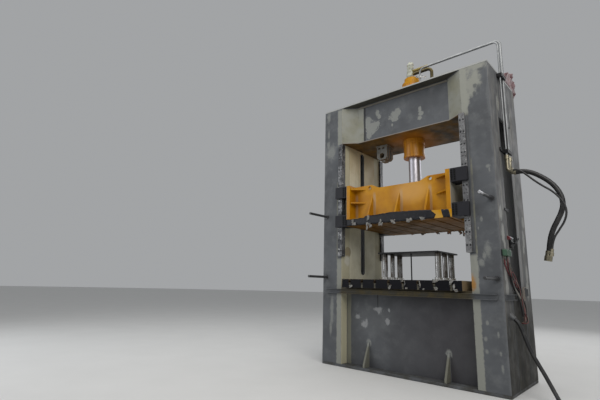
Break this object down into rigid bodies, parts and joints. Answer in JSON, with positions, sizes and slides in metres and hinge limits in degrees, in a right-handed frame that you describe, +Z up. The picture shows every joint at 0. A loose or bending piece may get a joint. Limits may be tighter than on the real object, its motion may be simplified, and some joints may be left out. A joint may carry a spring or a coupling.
{
  "type": "hydraulic press",
  "caption": "Tall welded frame hydraulic press with a guided slide, a cylinder on top, a slotted bolster, side pipes and hoses.",
  "frame": {"origin": "on the floor, at the centre of the base plate's underside", "axes": "+Z up, -Y towards the operator's side where the four round bars stand out, +X towards the column that carries the pipes"},
  "size_m": [3.4558, 1.7903, 4.9656],
  "materials": {
    "frame_paint": "matte grey primer with cream filler patches",
    "primer": "matte cream primer",
    "plate_steel": "machined and oiled",
    "rail_steel": "ground, speckled with paint",
    "yellow_enamel": "semi-gloss enamel",
    "black_steel": "blackened",
    "bright_steel": "turned",
    "chrome": "hard chrome, polished",
    "pipe_steel": "zinc plated",
    "fitting_brass": "yellow passivated",
    "hose_rubber": "matte",
    "green_paint": "semi-gloss"
  },
  "bodies": {
    "frame": {"base_plate": "frame_paint", "column_left_front": "frame_paint", "column_left_rear": "frame_paint", "column_left_web": "primer", "column_left_upper_cover": "frame_paint", "column_left_lower_cover": "frame_paint", "column_right_front": "frame_paint", "column_right_rear": "frame_paint", "column_right_web": "primer", "column_right_upper_cover": "frame_paint", "column_right_lower_cover": "frame_paint", "bed": "frame_paint", "crown": "frame_paint", "top_plate": "frame_paint", "front_channel": "frame_paint", "side_channel": "frame_paint", "bolster": "plate_steel", "guide_rail_left_front": "rail_steel", "guide_rail_left_rear": "rail_steel", "guide_rail_right_front": "rail_steel", "guide_rail_right_rear": "rail_steel", "cylinder_barrel": "yellow_enamel", "cylinder_gland": "yellow_enamel", "cylinder_cap": "yellow_enamel", "port_block": "yellow_enamel", "pressure_pipe": "pipe_steel", "return_pipe": "pipe_steel", "pipe_clamp_upper": "black_steel", "pipe_clamp_lower": "black_steel", "pressure_elbow": "fitting_brass", "return_elbow": "fitting_brass", "pressure_hose": "hose_rubber", "pressure_hose_end": "fitting_brass", "return_hose": "hose_rubber", "return_hose_end": "fitting_brass", "conduit": "hose_rubber", "conduit_end": "fitting_brass", "box_cable": "hose_rubber", "lock_housing": "frame_paint", "front_bar_left_lower": "black_steel", "front_bar_left_upper": "black_steel", "front_bar_right_lower": "black_steel", "front_bar_right_upper": "black_steel", "electrical_box": "green_paint", "stop_valve": "black_steel", "stand_plate": "black_steel", "stand_posts_left": "bright_steel", "stand_posts_right": "bright_steel"},
    "slide": {"slide_plate": "plate_steel", "slide_body": "yellow_enamel", "piston_rod": "chrome", "lower_shoe_left_front": "black_steel", "lower_shoe_left_rear": "black_steel", "lower_shoe_right_front": "black_steel", "lower_shoe_right_rear": "black_steel", "upper_shoe_left_front": "black_steel", "upper_shoe_left_rear": "black_steel", "upper_shoe_right_front": "black_steel", "upper_shoe_right_rear": "black_steel"},
    "lever": {"valve_lever": "black_steel"}
  },
  "joints": [
    {"name": "slide_travel", "type": "slide", "parent": "frame", "child": "slide", "axis": [0, 0, 1], "range_m": [-0.38, 0.4]},
    {"name": "lever_turn", "type": "hinge", "parent": "frame", "child": "lever", "pos_m": [1.4493, -0.1672, 1.83], "axis": [1, 0, 0], "range_deg": [0, 90]}
  ]
}
